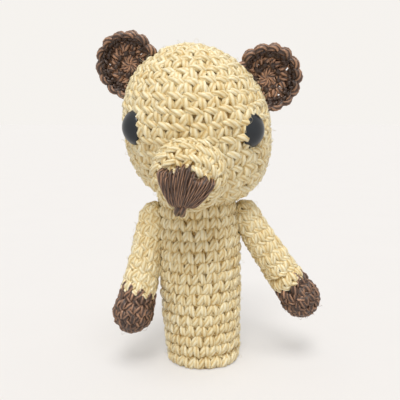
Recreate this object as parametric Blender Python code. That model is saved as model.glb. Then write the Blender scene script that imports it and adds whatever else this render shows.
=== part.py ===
"""Crocheted bear finger puppet.

A hollow crocheted body tube takes a finger from below. A stuffed head is sewn on its top, with a
stuffed muzzle, an embroidered nose, two safety eyes on locking washers and two cupped ears. Two
stuffed arms end in paws of a second yarn. Left and right are the bear's own, and it faces -Y.
Lengths are in metres. The rim of the body stands on the plane Z = 0.
"""

import math
from collections import namedtuple

import bmesh
import bpy
from mathutils import Matrix, Vector

MM = 0.001

# Yarn of each crocheted piece: stitch width, round height, depth of the grooves, cloth thickness
Gauge = namedtuple("Gauge", "stitch row relief wall")
BODY_STITCH = 3.77 * MM
BODY_ROUND = 3.15 * MM
BODY_RELIEF = 0.75 * MM
BODY_WALL = 2.3 * MM
BODY_GAUGE = Gauge(BODY_STITCH, BODY_ROUND, BODY_RELIEF, BODY_WALL)
HEAD_STITCH = 4.67 * MM
HEAD_ROUND = 4.17 * MM
HEAD_RELIEF = 0.9 * MM
HEAD_WALL = 2.6 * MM
HEAD_GAUGE = Gauge(HEAD_STITCH, HEAD_ROUND, HEAD_RELIEF, HEAD_WALL)
MUZZLE_STITCH = 4.2 * MM
MUZZLE_ROUND = 3.8 * MM
MUZZLE_RELIEF = 0.8 * MM
MUZZLE_WALL = 2.2 * MM
MUZZLE_GAUGE = Gauge(MUZZLE_STITCH, MUZZLE_ROUND, MUZZLE_RELIEF, MUZZLE_WALL)
ARM_STITCH = 3.73 * MM
ARM_ROUND = 3.5 * MM
ARM_RELIEF = 0.7 * MM
ARM_WALL = 1.9 * MM
ARM_GAUGE = Gauge(ARM_STITCH, ARM_ROUND, ARM_RELIEF, ARM_WALL)
EAR_STITCH = 3.9 * MM
EAR_ROUND = 3.6 * MM
EAR_RELIEF = 0.6 * MM
EAR_WALL = 2.0 * MM
EAR_GAUGE = Gauge(EAR_STITCH, EAR_ROUND, EAR_RELIEF, EAR_WALL)
FEWEST_STITCHES = 6
STITCH_GAP_SHARE = 0.5  # how deep the gap between two stitches is, as a share of the groove
SEWN_GAP = 0.3 * MM  # clearance between pieces that are sewn or stuffed together

# Body tube
BODY_HEIGHT = 50.2 * MM
BODY_RIM_RADIUS = 11.5 * MM
BODY_BELLY_RADIUS = 12.4 * MM
BODY_CHEST_RADIUS = 12.9 * MM
BODY_NECK_RADIUS = 11.8 * MM
BODY_BELLY_HEIGHT = 16.0 * MM
BODY_CHEST_HEIGHT = 38.0 * MM
BODY_LEAN = math.radians(2.2)  # towards the bear's right

# Head
HEAD_RADIUS = 22.3 * MM
HEAD_UPPER = 23.6 * MM  # crown above the widest round
HEAD_LOWER = 24.0 * MM  # underside below the widest round
HEAD_UPPER_POWER = 2.0
HEAD_LOWER_POWER = 2.5
HEAD_TILT = math.radians(8.0)  # nose down
HEAD_TURN = math.radians(5.0)  # towards the bear's right
HEAD_ROLL = math.radians(1.5)  # towards the bear's left
HEAD_SLANT = 0.10  # how far the rounds slide towards the bear's right for each step up
NECK_SINK = 2.2 * MM  # how far the underside sits inside the body's top edge
CLOSING_HOLE_RADIUS = 2.0 * MM  # where the last round is drawn up

# Muzzle, nose and mouth
MUZZLE_RADIUS = 10.5 * MM
MUZZLE_LENGTH = 8.5 * MM
MUZZLE_POWER = 2.2
MUZZLE_DROP = 10.3 * MM  # below the head's widest round
MUZZLE_PITCH = math.radians(11.0)
MUZZLE_SKIRT = 9.5 * MM  # the wall that runs back to the head before it is trimmed
NOSE_HALF_WIDTH = 7.8 * MM
NOSE_TOP = 6.0 * MM
NOSE_CORNER_DROP = 3.6 * MM
NOSE_TILT = -1.3 * MM  # how much higher the corner on the bear's left is than the middle
NOSE_APEX = -6.2 * MM
NOSE_APEX_ACROSS = -1.1 * MM
NOSE_STRANDS = 11
NOSE_APEX_SHARE = 0.14  # the apex's width as a share of the top's
NOSE_SIDE_BULGE = 0.66
THREAD_THICKNESS = 1.3 * MM
MOUTH_LENGTH = 4.5 * MM
MOUTH_LEAN = -1.3 * MM  # how far its lower end is beside its upper one
MOUTH_STRANDS = 2
MOUTH_HALF_WIDTH = 1.4 * MM

# Safety eyes and their washers
EYE_RADIUS = 5.0 * MM
EYE_DOME = 2.6 * MM
EYE_FLANGE = 0.5 * MM
EYE_AZIMUTH = math.radians(52.0)
EYE_HEIGHT = 0.9 * MM
EYE_TURN = math.radians(17.0)  # the eye looks further sideways than its place
EYE_SINK = 2.1 * MM  # how far the flange is drawn into the cloth
SHANK_RADIUS = 1.4 * MM
SHANK_LENGTH = 10.0 * MM
SHANK_RIB = 0.25 * MM
SHANK_RIBS = 3
WASHER_RADIUS = 4.4 * MM
WASHER_THICKNESS = 1.0 * MM

# Ears
EAR_RADIUS = 9.8 * MM
EAR_CUP = 3.6 * MM
EAR_BACK = 0.8 * MM  # behind the head's widest plane
EAR_TURN = math.radians(8.0)
# Each ear: side, angle from straight up, distance of its centre outside the head's surface
Ear = namedtuple("Ear", "side angle standoff")
LEFT_EAR_STANDOFF = 1.9 * MM
RIGHT_EAR_STANDOFF = 3.8 * MM
LEFT_EAR = Ear(1, math.radians(56.0), LEFT_EAR_STANDOFF)
RIGHT_EAR = Ear(-1, math.radians(51.0), RIGHT_EAR_STANDOFF)

# Arms and paws
ARM_RADIUS = 4.9 * MM
WRIST_RADIUS = 5.7 * MM
LEFT_ARM_LENGTH = 29.9 * MM
RIGHT_ARM_LENGTH = 28.0 * MM
PAW_RADIUS = 6.5 * MM
PAW_LENGTH = 12.3 * MM
SHOULDER_DROP = 1.1 * MM  # top of the arm below the body's top edge
SHOULDER_BITE = 4.6 * MM  # how far the arm's top is shaped into the body's side
# Each arm: side, length, angle from straight down, how far that points forwards, bend along it
Arm = namedtuple("Arm", "side length swing forward bend")
LEFT_ARM = Arm(1, LEFT_ARM_LENGTH, math.radians(29.5), math.radians(2.0), math.radians(9.0))
RIGHT_ARM = Arm(-1, RIGHT_ARM_LENGTH, math.radians(14.0), math.radians(47.0), math.radians(8.0))

# Fineness of the plain surfaces
LINING_SHARE = 0.6  # points round a lining as a share of the widest round's stitches
FEWEST_LINING_POINTS = 8
LINING_RINGS = 8
TURNED_SEGMENTS = 16
CUTTER_SEGMENTS = 28
CUTTER_STEPS = 16
OUTLINE_STEPS = 60
PLAIN_STEPS = 12
DOME_STEPS = 4
MERGE = 0.001 * MM

# Yarn and plastic finishes: colour, roughness
CREAM_YARN = ("cream_yarn", (0.70, 0.56, 0.31), 0.75)
BROWN_YARN = ("brown_yarn", (0.10, 0.062, 0.047), 0.8)
BLACK_PLASTIC = ("black_plastic", (0.012, 0.014, 0.018), 0.18)
WHITE_PLASTIC = ("white_plastic", (0.72, 0.72, 0.70), 0.4)
WHITE_FIBRE = ("white_fibre", (0.82, 0.82, 0.80), 0.95)


def material(finish):
    name, colour, roughness = finish
    made = bpy.data.materials.get(name) or bpy.data.materials.new(name)
    made.use_nodes = True
    shader = made.node_tree.nodes["Principled BSDF"]
    shader.inputs["Base Color"].default_value = (*colour, 1.0)
    shader.inputs["Roughness"].default_value = roughness
    shader.inputs["Metallic"].default_value = 0.0
    return made


# Outlines: (radius, height) points from the top of a piece down to its end


def superellipse_quarter(radius, height, power, steps, downwards):
    """The quarter between the axis and the widest point, above it or, downwards, below it."""
    points = []
    for i in range(steps + 1):
        t = math.pi / 2 * i / steps
        across = radius * math.sin(t) ** (2 / power)
        up = height * math.cos(t) ** (2 / power)
        points.append((across, up))
    if downwards:
        points = [(across, -up) for across, up in reversed(points)]
    return points


def spline(knots, steps):
    """A smooth curve through the knots, which keeps its end tangents along the first and last run."""
    first = [2 * a - b for a, b in zip(knots[0], knots[1])]
    last = [2 * a - b for a, b in zip(knots[-1], knots[-2])]
    ends = [first, *knots, last]
    points = []
    for i in range(len(knots) - 1):
        before, start, stop, after = ends[i : i + 4]
        for step in range(steps):
            t = step / steps
            points.append(
                tuple(
                    0.5
                    * (
                        2 * q
                        + (r - p) * t
                        + (2 * p - 5 * q + 4 * r - s) * t * t
                        + (3 * q - p - 3 * r + s) * t**3
                    )
                    for p, q, r, s in zip(before, start, stop, after)
                )
            )
    return [*points, tuple(knots[-1])]


class Outline:
    """A meridian that can be read at any distance along it, with its outward normal."""

    def __init__(self, points):
        self.points = [Vector(p) for p in points]
        self.reach = [0.0]
        for a, b in zip(self.points, self.points[1:]):
            self.reach.append(self.reach[-1] + (b - a).length)
        self.length = self.reach[-1]

    def at(self, distance):
        """(radius, height, outward normal) at a distance from the top."""
        distance = min(max(distance, 0.0), self.length)
        i = 0
        while i < len(self.reach) - 2 and self.reach[i + 1] < distance:
            i += 1
        a, b = self.points[i], self.points[i + 1]
        share = (distance - self.reach[i]) / (self.reach[i + 1] - self.reach[i])
        place = a.lerp(b, share)
        normal = self._normal_near(distance)
        return place.x, place.y, normal

    def _normal_near(self, distance):
        span = self.length / OUTLINE_STEPS
        a = self._place(max(distance - span, 0.0))
        b = self._place(min(distance + span, self.length))
        along = (b - a).normalized()
        return Vector((-along.y, along.x))

    def _place(self, distance):
        i = 0
        while i < len(self.reach) - 2 and self.reach[i + 1] < distance:
            i += 1
        share = (distance - self.reach[i]) / (self.reach[i + 1] - self.reach[i])
        return self.points[i].lerp(self.points[i + 1], share)

    def shifted(self, distance, lift):
        """(radius, height) at a distance from the top, moved outwards by lift."""
        radius, height, normal = self.at(distance)
        return max(radius + lift * normal.x, 0.0), height + lift * normal.y

    def offset(self, lift, steps):
        """The outline moved outwards by lift, as plain points."""
        return [self.shifted(self.length * i / steps, lift) for i in range(steps + 1)]


def head_outline():
    upper = superellipse_quarter(HEAD_RADIUS, HEAD_UPPER, HEAD_UPPER_POWER, OUTLINE_STEPS, False)
    lower = superellipse_quarter(HEAD_RADIUS, HEAD_LOWER, HEAD_LOWER_POWER, OUTLINE_STEPS, True)
    closed = [*upper, *lower[1:]]
    return Outline([p for p in closed if p[1] > 0 or p[0] >= CLOSING_HOLE_RADIUS])


def body_outline():
    """Ends in a short upright run, so that the rim's underside is flat."""
    knots = [
        (BODY_NECK_RADIUS, BODY_HEIGHT + BODY_GAUGE.row / 2),
        (BODY_CHEST_RADIUS, BODY_CHEST_HEIGHT),
        (BODY_BELLY_RADIUS, BODY_BELLY_HEIGHT),
        (BODY_RIM_RADIUS, BODY_GAUGE.row / 2),
    ]
    return Outline([*spline(knots, OUTLINE_STEPS // 3), (BODY_RIM_RADIUS, 0.0)])


def muzzle_outline():
    dome = superellipse_quarter(MUZZLE_RADIUS, MUZZLE_LENGTH, MUZZLE_POWER, OUTLINE_STEPS, False)
    return Outline([*dome, (MUZZLE_RADIUS, -MUZZLE_SKIRT)])


def ear_outline():
    """A shallow cup whose back is at the top and whose rim is below it."""
    return Outline(superellipse_quarter(EAR_RADIUS, EAR_CUP, 2.0, OUTLINE_STEPS, False))


def arm_outline(arm):
    dome = superellipse_quarter(ARM_RADIUS, ARM_RADIUS, 2.0, PLAIN_STEPS, False)
    top = [(radius, height - ARM_RADIUS) for radius, height in dome]
    return Outline([*top, (WRIST_RADIUS, -arm.length)])


def paw_outline(arm):
    """From the wrist down to the closed tip."""
    tip = superellipse_quarter(PAW_RADIUS, PAW_RADIUS, 2.0, PLAIN_STEPS, True)
    bottom = -arm.length - PAW_LENGTH
    wrist = -arm.length - SEWN_GAP
    ball = [(radius, height + bottom + PAW_RADIUS) for radius, height in tip]
    return Outline([(WRIST_RADIUS, wrist), *ball])


# Meshes


def plain(x, y, z):
    return Vector((x, y, z))


def ring(bm, count, phase, radius, height, bend):
    """A closed ring of vertices with their angles. radius is one value, or a function of the index."""
    made = []
    for i in range(count):
        angle = math.tau * (i + phase) / count
        r = radius(i) if callable(radius) else radius
        made.append((angle, bm.verts.new(bend(r * math.cos(angle), r * math.sin(angle), height))))
    return made


def zip_rings(bm, first, second):
    """Joins two rings of any counts with triangles, walking round both by angle."""

    def turn(entries, i):
        lap, index = divmod(i, len(entries))
        return entries[index][0] + math.tau * lap

    def corner(entries, i):
        return entries[i % len(entries)][1]

    i = j = 0
    while i < len(first) or j < len(second):
        step_first = j >= len(second) or (
            i < len(first) and turn(first, i + 1) <= turn(second, j + 1)
        )
        if step_first:
            bm.faces.new((corner(first, i), corner(first, i + 1), corner(second, j)))
            i += 1
        else:
            bm.faces.new((corner(first, i), corner(second, j + 1), corner(second, j)))
            j += 1


def fan(bm, entries, centre):
    for i, (_, vertex) in enumerate(entries):
        bm.faces.new((vertex, entries[(i + 1) % len(entries)][1], centre))


def rounds_of(outline, gauge):
    """(start, middle, stitch count, phase) of each round. Each round starts half a stitch on."""
    rows = max(1, round(outline.length / gauge.row))
    step = outline.length / rows
    rounds = []
    for k in range(rows):
        middle = (k + 0.5) * step
        around = math.tau * outline.at(middle)[0]
        count = max(FEWEST_STITCHES, round(around / gauge.stitch))
        rounds.append((k * step, middle, count, 0.5 * (k % 2)))
    return rounds


def stitched_rings(bm, outline, gauge, bend, base=0.0, sign=1.0, skip_first=False):
    """The ridge and groove rings of every round, from the top down, lifted from the outline by base.

    sign is -1 for a lining, whose stitches stand out towards the axis.
    """
    rings = []
    deep = base - sign * gauge.relief
    between = base - sign * gauge.relief * STITCH_GAP_SHARE
    rounds = rounds_of(outline, gauge)
    for k, (start, middle, count, phase) in enumerate(rounds):
        if k or not skip_first:
            radius, height = outline.shifted(start, deep)
            rings.append(ring(bm, count, phase, radius, height, bend))
        high = outline.shifted(middle, base)
        low = outline.shifted(middle, between)
        heights = (high[1] + low[1]) / 2
        radii = (high[0], low[0])
        rings.append(
            ring(bm, 2 * count, 2 * phase, lambda i, radii=radii: radii[i % 2], heights, bend)
        )
    radius, height = outline.shifted(outline.length, deep)
    rings.append(ring(bm, rounds[-1][2], rounds[-1][3], radius, height, bend))
    return rings


def lining_rings(bm, outline, gauge, bend, inset=0.0, start=0):
    """Plain rings of the cloth's inside, or of a stuffing that is inset from it."""
    rounds = rounds_of(outline, gauge)
    segments = round(max(count for _, _, count, _ in rounds) * LINING_SHARE)
    segments = max(segments, FEWEST_LINING_POINTS)
    steps = max(len(rounds) // 2, min(len(rounds), LINING_RINGS))
    depth = gauge.wall + inset
    rings = []
    for k in range(start, steps + 1):
        radius, height = outline.shifted(outline.length * k / steps, -depth)
        if radius > depth / 3:
            rings.append(ring(bm, segments, 0.0, radius, height, bend))
    return rings


def filling(name, cavities, bend=plain):
    """Stuffing that follows the linings of the cavities, each an outline, a gauge and a first ring."""
    bm = bmesh.new()
    rings = []
    for outline, gauge, start in cavities:
        rings += lining_rings(bm, outline, gauge, bend, SEWN_GAP, start)
    for a, b in zip(rings, rings[1:]):
        zip_rings(bm, a, b)
    first, last = cavities[0], cavities[-1]
    ends = ((rings[0], *first[:2], 0.0), (rings[-1], *last[:2], last[0].length))
    for entries, outline, gauge, distance in ends:
        _, height = outline.shifted(distance, -gauge.wall - SEWN_GAP)
        fan(bm, entries, bm.verts.new(bend(0.0, 0.0, height)))
    return finished(name, bm)


def crochet(name, outline, gauge, closed_start=False, closed_end=False, bend=plain, lined=False):
    """A crocheted skin: stitch relief outside, and a plain or, when lined, a stitched inside."""
    bm = bmesh.new()
    outside = stitched_rings(bm, outline, gauge, bend, skip_first=closed_start)
    if closed_end:
        for _, vertex in outside.pop():
            bm.verts.remove(vertex)
    if lined:
        inside = stitched_rings(bm, outline, gauge, bend, -gauge.wall, -1.0, closed_start)
    else:
        inside = lining_rings(bm, outline, gauge, bend)
    for rings in (outside, inside):
        for a, b in zip(rings, rings[1:]):
            zip_rings(bm, a, b)
    ends = ((closed_start, 0, 0.0), (closed_end, -1, outline.length))
    for closed, index, distance in ends:
        if not closed:
            zip_rings(bm, outside[index], inside[index])
            continue
        for rings, lift in ((outside, -gauge.relief), (inside, -gauge.wall)):
            _, height = outline.shifted(distance, lift)
            fan(bm, rings[index], bm.verts.new(bend(0.0, 0.0, height)))
    return finished(name, bm)


def finished(name, bm):
    bmesh.ops.recalc_face_normals(bm, faces=bm.faces)
    mesh = bpy.data.meshes.new(name)
    bm.to_mesh(mesh)
    bm.free()
    mesh.shade_smooth()
    mesh.set_sharp_from_angle(angle=math.radians(50))
    return mesh


def turned(name, points, segments, bend=plain, loop=False):
    """Spins an outline round Z. It is closed by its ends on the axis or by flat faces, or is a loop."""
    bm = bmesh.new()
    line = [bm.verts.new((max(radius, 0.0), 0.0, height)) for radius, height in points]
    edges = [bm.edges.new(pair) for pair in zip(line, line[1:])]
    if loop:
        edges.append(bm.edges.new((line[-1], line[0])))
    bmesh.ops.spin(
        bm,
        geom=[*line, *edges],
        cent=(0, 0, 0),
        axis=(0, 0, 1),
        angle=math.tau,
        steps=segments,
        use_merge=True,
    )
    bmesh.ops.remove_doubles(bm, verts=bm.verts, dist=MERGE)
    bmesh.ops.holes_fill(bm, edges=[e for e in bm.edges if e.is_boundary])
    for vertex in bm.verts:
        vertex.co = bend(*vertex.co)
    return finished(name, bm)


def empty(name, matrix, parent=None):
    made = bpy.data.objects.new(name, None)
    bpy.context.scene.collection.objects.link(made)
    made.parent = parent
    made.matrix_local = matrix
    return made


def place(name, mesh, parent, finish=None, matrix=None):
    """An object on its parent. One with no finish is a cutter, which isn't part of the puppet."""
    made = bpy.data.objects.new(name, mesh)
    bpy.context.scene.collection.objects.link(made)
    made.parent = parent
    made.matrix_local = matrix or Matrix.Identity(4)
    if finish:
        mesh.materials.append(material(finish))
    else:
        made.hide_render = True
        made.display_type = "WIRE"
    return made


def cut(piece, *cutters):
    for cutter in cutters:
        modifier = piece.modifiers.new(f"fit_{cutter.name}", "BOOLEAN")
        modifier.operation = "DIFFERENCE"
        modifier.solver = "EXACT"
        modifier.object = cutter


# Body


def lean(x, y, z):
    return Vector((x - z * math.tan(BODY_LEAN), y, z))


def build_body(puppet):
    outline = body_outline()
    body = place("body", crochet("body", outline, BODY_GAUGE, bend=lean), puppet, CREAM_YARN)
    around = outline.offset(SEWN_GAP, CUTTER_STEPS)
    envelope = turned("body_envelope", around, CUTTER_SEGMENTS, lean)
    return body, place("body_envelope", envelope, puppet)


# Head


def head_matrix():
    neck = lean(0.0, 0.0, BODY_HEIGHT)
    height = BODY_HEIGHT + HEAD_LOWER - NECK_SINK
    return (
        Matrix.Translation((neck.x, neck.y, height))
        @ Matrix.Rotation(-HEAD_TURN, 4, "Z")
        @ Matrix.Rotation(HEAD_ROLL, 4, "Y")
        @ Matrix.Rotation(HEAD_TILT, 4, "X")
    )


def head_radius_at(height):
    """Radius of the head's outline at a height above or below its widest round."""
    half, power = (HEAD_UPPER, HEAD_UPPER_POWER) if height > 0 else (HEAD_LOWER, HEAD_LOWER_POWER)
    share = min(abs(height) / half, 1.0)
    return HEAD_RADIUS * (1 - share**power) ** (1 / power)


def slanted(x, y, z):
    """Each round of the head sits a little beside the one below it."""
    return Vector((x - z * HEAD_SLANT, y, z))


def build_head(head_frame):
    outline = head_outline()
    mesh = crochet("head", outline, HEAD_GAUGE, closed_start=True, bend=slanted)
    head = place("head", mesh, head_frame, CREAM_YARN)
    full = [*outline.offset(SEWN_GAP, CUTTER_STEPS), (0.0, -HEAD_LOWER - SEWN_GAP)]
    envelope = turned("head_envelope", full, CUTTER_SEGMENTS, slanted)
    stuffing = filling("head_stuffing", [(outline, HEAD_GAUGE, 0)], slanted)
    stuffing = place("head_stuffing", stuffing, head_frame, WHITE_FIBRE)
    return head, stuffing, place("head_envelope", envelope, head_frame)


# Eyes


def eye_matrix(side):
    """An eye's frame: +Z looks out of the head, and the flange's back is at the origin."""
    radius = head_radius_at(EYE_HEIGHT) - EYE_SINK
    azimuth = side * EYE_AZIMUTH
    seat = slanted(radius * math.sin(azimuth), -radius * math.cos(azimuth), EYE_HEIGHT)
    gaze = side * (EYE_AZIMUTH + EYE_TURN)
    outwards = Vector((math.sin(gaze), -math.cos(gaze), 0.0))
    return Matrix.Translation(seat) @ outwards.to_track_quat("Z", "Y").to_matrix().to_4x4()


def eye_front(grow=0.0):
    """The dome and flange, from the front down to the back of the flange."""
    points = []
    for i in range(DOME_STEPS + 1):
        t = math.pi / 2 * i / DOME_STEPS
        radius = (EYE_RADIUS + grow) * math.sin(t)
        points.append((radius, EYE_FLANGE + grow + EYE_DOME * math.cos(t)))
    return [*points, (EYE_RADIUS + grow, -grow)]


def eye_points():
    """The whole eye with its ribbed shank."""
    points = [*eye_front(), (SHANK_RADIUS, 0.0)]
    pitch = SHANK_LENGTH / (2 * SHANK_RIBS + 1)
    for i in range(SHANK_RIBS):
        top = -pitch * (2 * i + 1)
        points += [(SHANK_RADIUS, top), (SHANK_RADIUS - SHANK_RIB, top - pitch)]
    return [*points, (SHANK_RADIUS - SHANK_RIB, -SHANK_LENGTH), (0.0, -SHANK_LENGTH)]


def washer_depth():
    """Depth of the washer's outer face behind the eye's flange: just inside the cloth."""
    slant = (EYE_RADIUS + WASHER_RADIUS) * math.sin(EYE_TURN) / 2
    return HEAD_GAUGE.wall - EYE_SINK + SEWN_GAP + slant


def washer_points():
    """A loop round the washer's section."""
    top = -washer_depth()
    bottom = top - WASHER_THICKNESS
    bore = SHANK_RADIUS + SEWN_GAP
    return [(bore, top), (WASHER_RADIUS, top), (WASHER_RADIUS, bottom), (bore, bottom)]


def room_behind(top):
    """The room that the washer, from a height of top down, and the shank's end take up."""
    rim = WASHER_RADIUS + SEWN_GAP
    hole = SHANK_RADIUS + SEWN_GAP
    bottom = -washer_depth() - WASHER_THICKNESS - SEWN_GAP
    end = -SHANK_LENGTH - SEWN_GAP
    return [(rim, top), (rim, bottom), (hole, bottom), (hole, end), (0.0, end)]


def build_eye(side, name, head_frame, head, stuffing):
    frame = eye_matrix(side)
    mesh = turned(f"{name}_eye", eye_points(), TURNED_SEGMENTS)
    place(f"{name}_eye", mesh, head_frame, BLACK_PLASTIC, frame)
    mesh = turned(f"{name}_eye_washer", washer_points(), TURNED_SEGMENTS, loop=True)
    place(f"{name}_eye_washer", mesh, head_frame, WHITE_PLASTIC, frame)
    top = -washer_depth() + SEWN_GAP
    hole = SHANK_RADIUS + SEWN_GAP
    through = [*eye_front(SEWN_GAP), (hole, -SEWN_GAP), (hole, top), *room_behind(top)]
    socket = turned(f"{name}_eye_socket", through, TURNED_SEGMENTS)
    cut(head, place(f"{name}_eye_socket", socket, head_frame, matrix=frame))
    pocket = turned(f"{name}_washer_pocket", [(0.0, 0.0), *room_behind(0.0)], TURNED_SEGMENTS)
    cut(stuffing, place(f"{name}_washer_pocket", pocket, head_frame, matrix=frame))


# Muzzle, nose and mouth


def muzzle_matrix():
    """The muzzle's frame: +Z points out of the face, +Y up the face, the origin on the head."""
    base = Vector((0.0, -head_radius_at(-MUZZLE_DROP), -MUZZLE_DROP))
    return Matrix.Translation(base) @ Matrix.Rotation(math.pi / 2 + MUZZLE_PITCH, 4, "X")


def on_muzzle(outline, across, up, lift):
    """A point of the muzzle's surface, by its distances across and up from the tip."""
    distance = math.hypot(across, up)
    angle = math.atan2(up, across)
    radius, height, normal = outline.at(distance)
    radius += lift * normal.x
    height += lift * normal.y
    return Vector((radius * math.cos(angle), radius * math.sin(angle), height))


def embroidery(name, outline, strands, rows, top, bottom):
    """Satin stitches side by side. top and bottom give each side's (across, up) for a share from -1 to 1."""
    columns = 2 * strands
    bm = bmesh.new()
    faces = []
    for lifted in (True, False):
        grid = []
        for column in range(columns + 1):
            share = 2 * column / columns - 1
            start, stop = Vector(bottom(share)), Vector(top(share))
            line = []
            for row in range(rows + 1):
                t = row / rows
                across = start.x + (stop.x - start.x) * t**NOSE_SIDE_BULGE
                up = start.y + (stop.y - start.y) * t
                height = SEWN_GAP
                if lifted:
                    crest = 1.0 if column % 2 else 0.55
                    end = 0.45 if row in (0, rows) or column in (0, columns) else 1.0
                    height += THREAD_THICKNESS * crest * end
                line.append(bm.verts.new(on_muzzle(outline, across, up, height)))
            grid.append(line)
        faces.append(grid)
        for a, b in zip(grid, grid[1:]):
            for row in range(rows):
                bm.faces.new((a[row], b[row], b[row + 1], a[row + 1]))
    upper, lower = (edge_loop(grid) for grid in faces)
    for i in range(len(upper)):
        j = (i + 1) % len(upper)
        bm.faces.new((upper[i], upper[j], lower[j], lower[i]))
    bmesh.ops.triangulate(bm, faces=bm.faces)
    return finished(name, bm)


def edge_loop(grid):
    """The vertices round a grid's edge, in order."""
    return [
        *[line[0] for line in grid],
        *grid[-1][1:],
        *[line[-1] for line in reversed(grid[:-1])],
        *reversed(grid[0][1:-1]),
    ]


def build_muzzle(head_frame, head_envelope, body_envelope):
    outline = muzzle_outline()
    frame = empty("muzzle_frame", muzzle_matrix(), head_frame)
    skin = place(
        "muzzle", crochet("muzzle", outline, MUZZLE_GAUGE, closed_start=True), frame, CREAM_YARN
    )
    stuffing = filling("muzzle_stuffing", [(outline, MUZZLE_GAUGE, 0)])
    stuffing = place("muzzle_stuffing", stuffing, frame, WHITE_FIBRE)
    cut(skin, head_envelope, body_envelope)
    cut(stuffing, head_envelope)

    def nose_top(share):
        up = NOSE_TOP - NOSE_CORNER_DROP * share**2 + NOSE_TILT * share
        return share * NOSE_HALF_WIDTH, up

    def nose_apex(share):
        return NOSE_APEX_ACROSS + share * NOSE_HALF_WIDTH * NOSE_APEX_SHARE, NOSE_APEX

    def mouth_top(share):
        return NOSE_APEX_ACROSS + share * MOUTH_HALF_WIDTH, NOSE_APEX - SEWN_GAP

    def mouth_end(share):
        across, up = mouth_top(share)
        return across + MOUTH_LEAN, up - MOUTH_LENGTH

    nose = embroidery("nose", outline, NOSE_STRANDS, 5, nose_top, nose_apex)
    place("nose", nose, frame, BROWN_YARN)
    mouth = embroidery("mouth_stitch", outline, MOUTH_STRANDS, 4, mouth_top, mouth_end)
    place("mouth_stitch", mouth, frame, BROWN_YARN)


# Ears


def ear_matrix(ear):
    """The ear's frame: +Z is the cup's back, and the origin is in the plane of its rim."""
    across, up = math.sin(ear.angle), math.cos(ear.angle)
    reach = ear.standoff + 1 / math.hypot(across / HEAD_RADIUS, up / HEAD_UPPER)
    centre = Vector((ear.side * across * reach, EAR_BACK, up * reach))
    return (
        Matrix.Translation(centre)
        @ Matrix.Rotation(ear.side * EAR_TURN, 4, "Z")
        @ Matrix.Rotation(-math.pi / 2, 4, "X")
    )


def build_ear(ear, name, head_frame, head_envelope):
    mesh = crochet(f"{name}_ear", ear_outline(), EAR_GAUGE, closed_start=True, lined=True)
    cut(place(f"{name}_ear", mesh, head_frame, BROWN_YARN, ear_matrix(ear)), head_envelope)


# Arms


def arm_path(arm):
    """A function from a point of the straight arm, which hangs along -Z, to the bent one."""
    top = BODY_HEIGHT - SHOULDER_DROP
    reach = BODY_NECK_RADIUS + ARM_RADIUS - SHOULDER_BITE
    start = lean(arm.side * reach, 0.0, top)
    heading = Vector((arm.side * math.cos(arm.forward), -math.sin(arm.forward), 0.0))
    sideways = heading.cross(Vector((0, 0, 1)))
    whole = arm.length + PAW_LENGTH

    def bend(x, y, z):
        """Walks an arc whose angle from straight down grows with the distance along the arm."""
        distance = -z
        rate = arm.bend / whole
        angle = arm.swing + rate * distance
        across = (math.cos(arm.swing) - math.cos(angle)) / rate
        down = (math.sin(angle) - math.sin(arm.swing)) / rate
        outwards = heading * math.cos(angle) + Vector((0, 0, math.sin(angle)))
        return start + heading * across - Vector((0, 0, down)) + outwards * x + sideways * y

    return bend


def build_arm(arm, name, puppet, cutters):
    bend = arm_path(arm)
    arm_skin, paw_skin = arm_outline(arm), paw_outline(arm)
    mesh = crochet(f"{name}_arm", arm_skin, ARM_GAUGE, closed_start=True, bend=bend)
    sleeve = place(f"{name}_arm", mesh, puppet, CREAM_YARN)
    cut(sleeve, *cutters)
    mesh = crochet(f"{name}_paw", paw_skin, ARM_GAUGE, closed_end=True, bend=bend)
    place(f"{name}_paw", mesh, puppet, BROWN_YARN)
    cavities = [(arm_skin, ARM_GAUGE, 0), (paw_skin, ARM_GAUGE, 1)]
    mesh = filling(f"{name}_arm_stuffing", cavities, bend)
    stuffing = place(f"{name}_arm_stuffing", mesh, puppet, WHITE_FIBRE)
    cut(stuffing, *cutters)


# Assembly


def stand_on_origin(puppet):
    """Moves the puppet so that the middle of its outline on the floor is the origin."""
    bpy.context.view_layer.update()
    graph = bpy.context.evaluated_depsgraph_get()
    corners = []
    for made in bpy.context.scene.objects:
        if made.type == "MESH" and not made.hide_render:
            solid = made.evaluated_get(graph)
            corners += [solid.matrix_world @ v.co for v in solid.data.vertices]
    low = [min(c[i] for c in corners) for i in range(3)]
    high = [max(c[i] for c in corners) for i in range(3)]
    puppet.location = (-(low[0] + high[0]) / 2, -(low[1] + high[1]) / 2, -low[2])


def main():
    for old in list(bpy.data.objects):
        bpy.data.objects.remove(old)
    puppet = empty("puppet", Matrix.Identity(4))
    head_frame = empty("head_frame", head_matrix(), puppet)
    body, body_envelope = build_body(puppet)
    head, head_stuffing, head_envelope = build_head(head_frame)
    cut(body, head_envelope)
    build_muzzle(head_frame, head_envelope, body_envelope)
    for ear, arm, name in ((LEFT_EAR, LEFT_ARM, "left"), (RIGHT_EAR, RIGHT_ARM, "right")):
        build_ear(ear, name, head_frame, head_envelope)
        build_eye(arm.side, name, head_frame, head, head_stuffing)
        build_arm(arm, name, puppet, (body_envelope, head_envelope))
    stand_on_origin(puppet)


main()
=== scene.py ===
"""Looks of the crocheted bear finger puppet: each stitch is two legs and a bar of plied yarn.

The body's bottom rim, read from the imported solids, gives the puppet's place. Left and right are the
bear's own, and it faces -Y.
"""

import math
from collections import namedtuple

import bpy
import numpy as np
from mathutils import Matrix, Vector


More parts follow.
